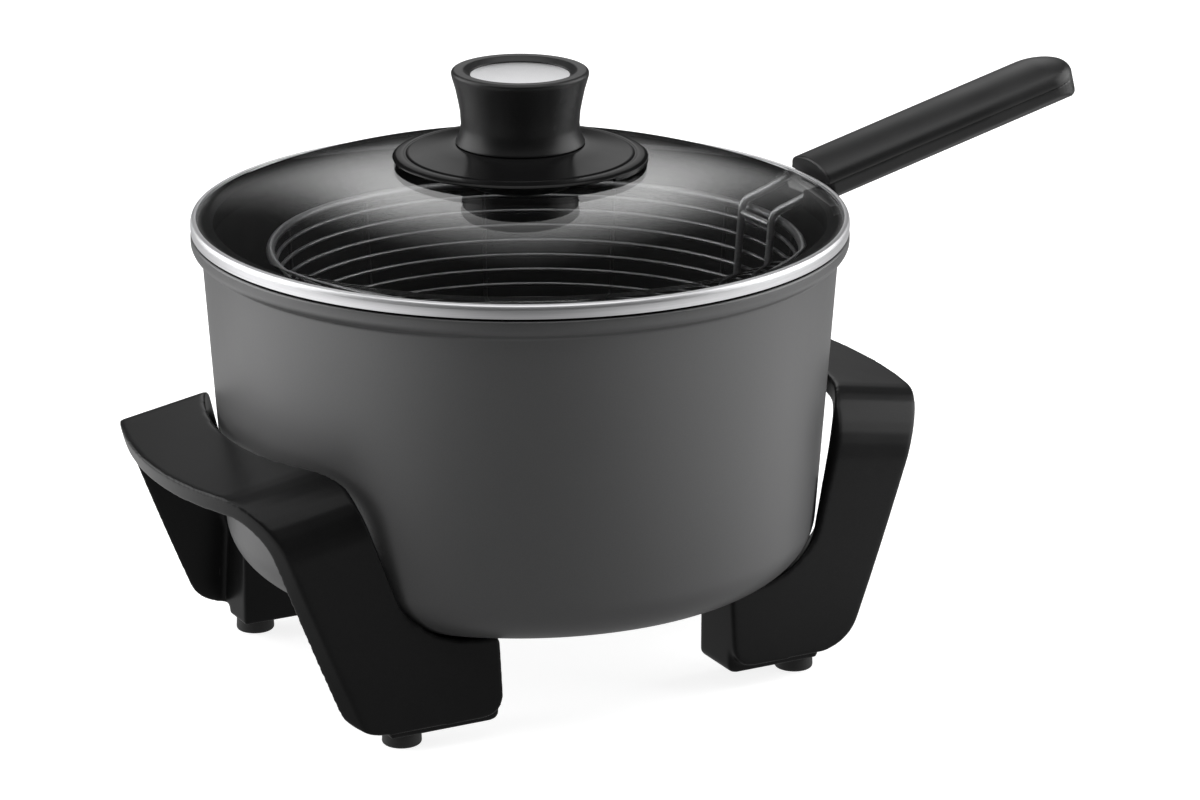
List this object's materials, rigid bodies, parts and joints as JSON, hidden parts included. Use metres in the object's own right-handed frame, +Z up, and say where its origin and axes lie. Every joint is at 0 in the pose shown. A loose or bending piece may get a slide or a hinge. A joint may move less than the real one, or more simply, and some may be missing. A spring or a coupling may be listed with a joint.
{
  "type": "multicooker",
  "caption": "Round electric multicooker: coated cast pot on moulded leg handles, wire frying basket with a clip-on handle, domed glass lid with a vented knob.",
  "frame": {"origin": "on the standing surface, under the middle of the cooker's overall width, which runs from the left grip to the tip of the basket handle; the pot's axis is 47.3 mm towards -X", "axes": "+Z up, +X towards the basket handle, -Y the front"},
  "size_m": [0.401, 0.25, 0.2322],
  "materials": {
    "pot_coating": "satin metallic charcoal outside, dark non-stick inside",
    "moulding": "satin black phenolic",
    "bright_steel": "polished",
    "steel": "plain",
    "sheath_steel": "dull grey sheath",
    "wire": "drawn wire",
    "glass": "clear toughened",
    "silicone": "black silicone",
    "foot_rubber": "black",
    "inlay": "fine brushed disc",
    "aluminium": "bare",
    "brass": "bare",
    "insulator": "unglazed steatite"
  },
  "bodies": {
    "cooker": {"pot": "pot_coating", "heat_spreader": "aluminium", "heating_element": "sheath_steel", "element_cover": "steel", "cover_screws": "steel", "terminal_guard": "steel", "guard_screws": "steel", "terminal_insulators": "insulator", "terminal_pins": "brass", "probe_sleeve": "aluminium", "left_leg_handle": "moulding", "right_leg_handle": "moulding", "leg_screws": "steel", "front_left_foot": "foot_rubber", "front_right_foot": "foot_rubber", "rear_left_foot": "foot_rubber", "rear_right_foot": "foot_rubber"},
    "basket": {"basket_rim": "wire", "basket_uprights": "wire", "basket_hoops": "wire", "basket_base_ring": "wire", "basket_floor": "wire", "handle_bracket": "wire"},
    "basket_handle": {"handle_top": "moulding", "handle_underside": "moulding", "handle_screws": "steel"},
    "release_catch": {"release_catch": "moulding"},
    "lid": {"lid_glass": "glass", "lid_band": "bright_steel", "lid_gasket": "silicone", "knob_seal": "silicone", "vent_grommet": "silicone", "knob_base": "moulding", "knob_grip": "moulding", "knob_inlay": "inlay", "knob_insert": "brass", "knob_screw": "steel", "retainer_seal": "silicone", "knob_retainer": "moulding"},
    "vent_ring": {"vent_ring": "moulding"}
  },
  "joints": [
    {"name": "basket_lift", "type": "slide", "parent": "cooker", "child": "basket", "axis": [0, 0, 1], "range_m": [0, 0.16]},
    {"name": "handle_pull", "type": "slide", "parent": "basket", "child": "basket_handle", "axis": [0.9681, 0, 0.2504], "range_m": [0, 0.042]},
    {"name": "catch_press", "type": "slide", "parent": "basket_handle", "child": "release_catch", "axis": [-0.2504, 0, 0.9681], "range_m": [0, 0.002], "stiffness_N_per_m": 800},
    {"name": "lid_lift", "type": "slide", "parent": "basket", "child": "lid", "axis": [0, 0, 1], "range_m": [0, 0.12]},
    {"name": "vent_turn", "type": "hinge", "parent": "lid", "child": "vent_ring", "pos_m": [-0.04727, 0, 0.196], "axis": [0, 0, 1], "range_deg": [0, 60]}
  ]
}
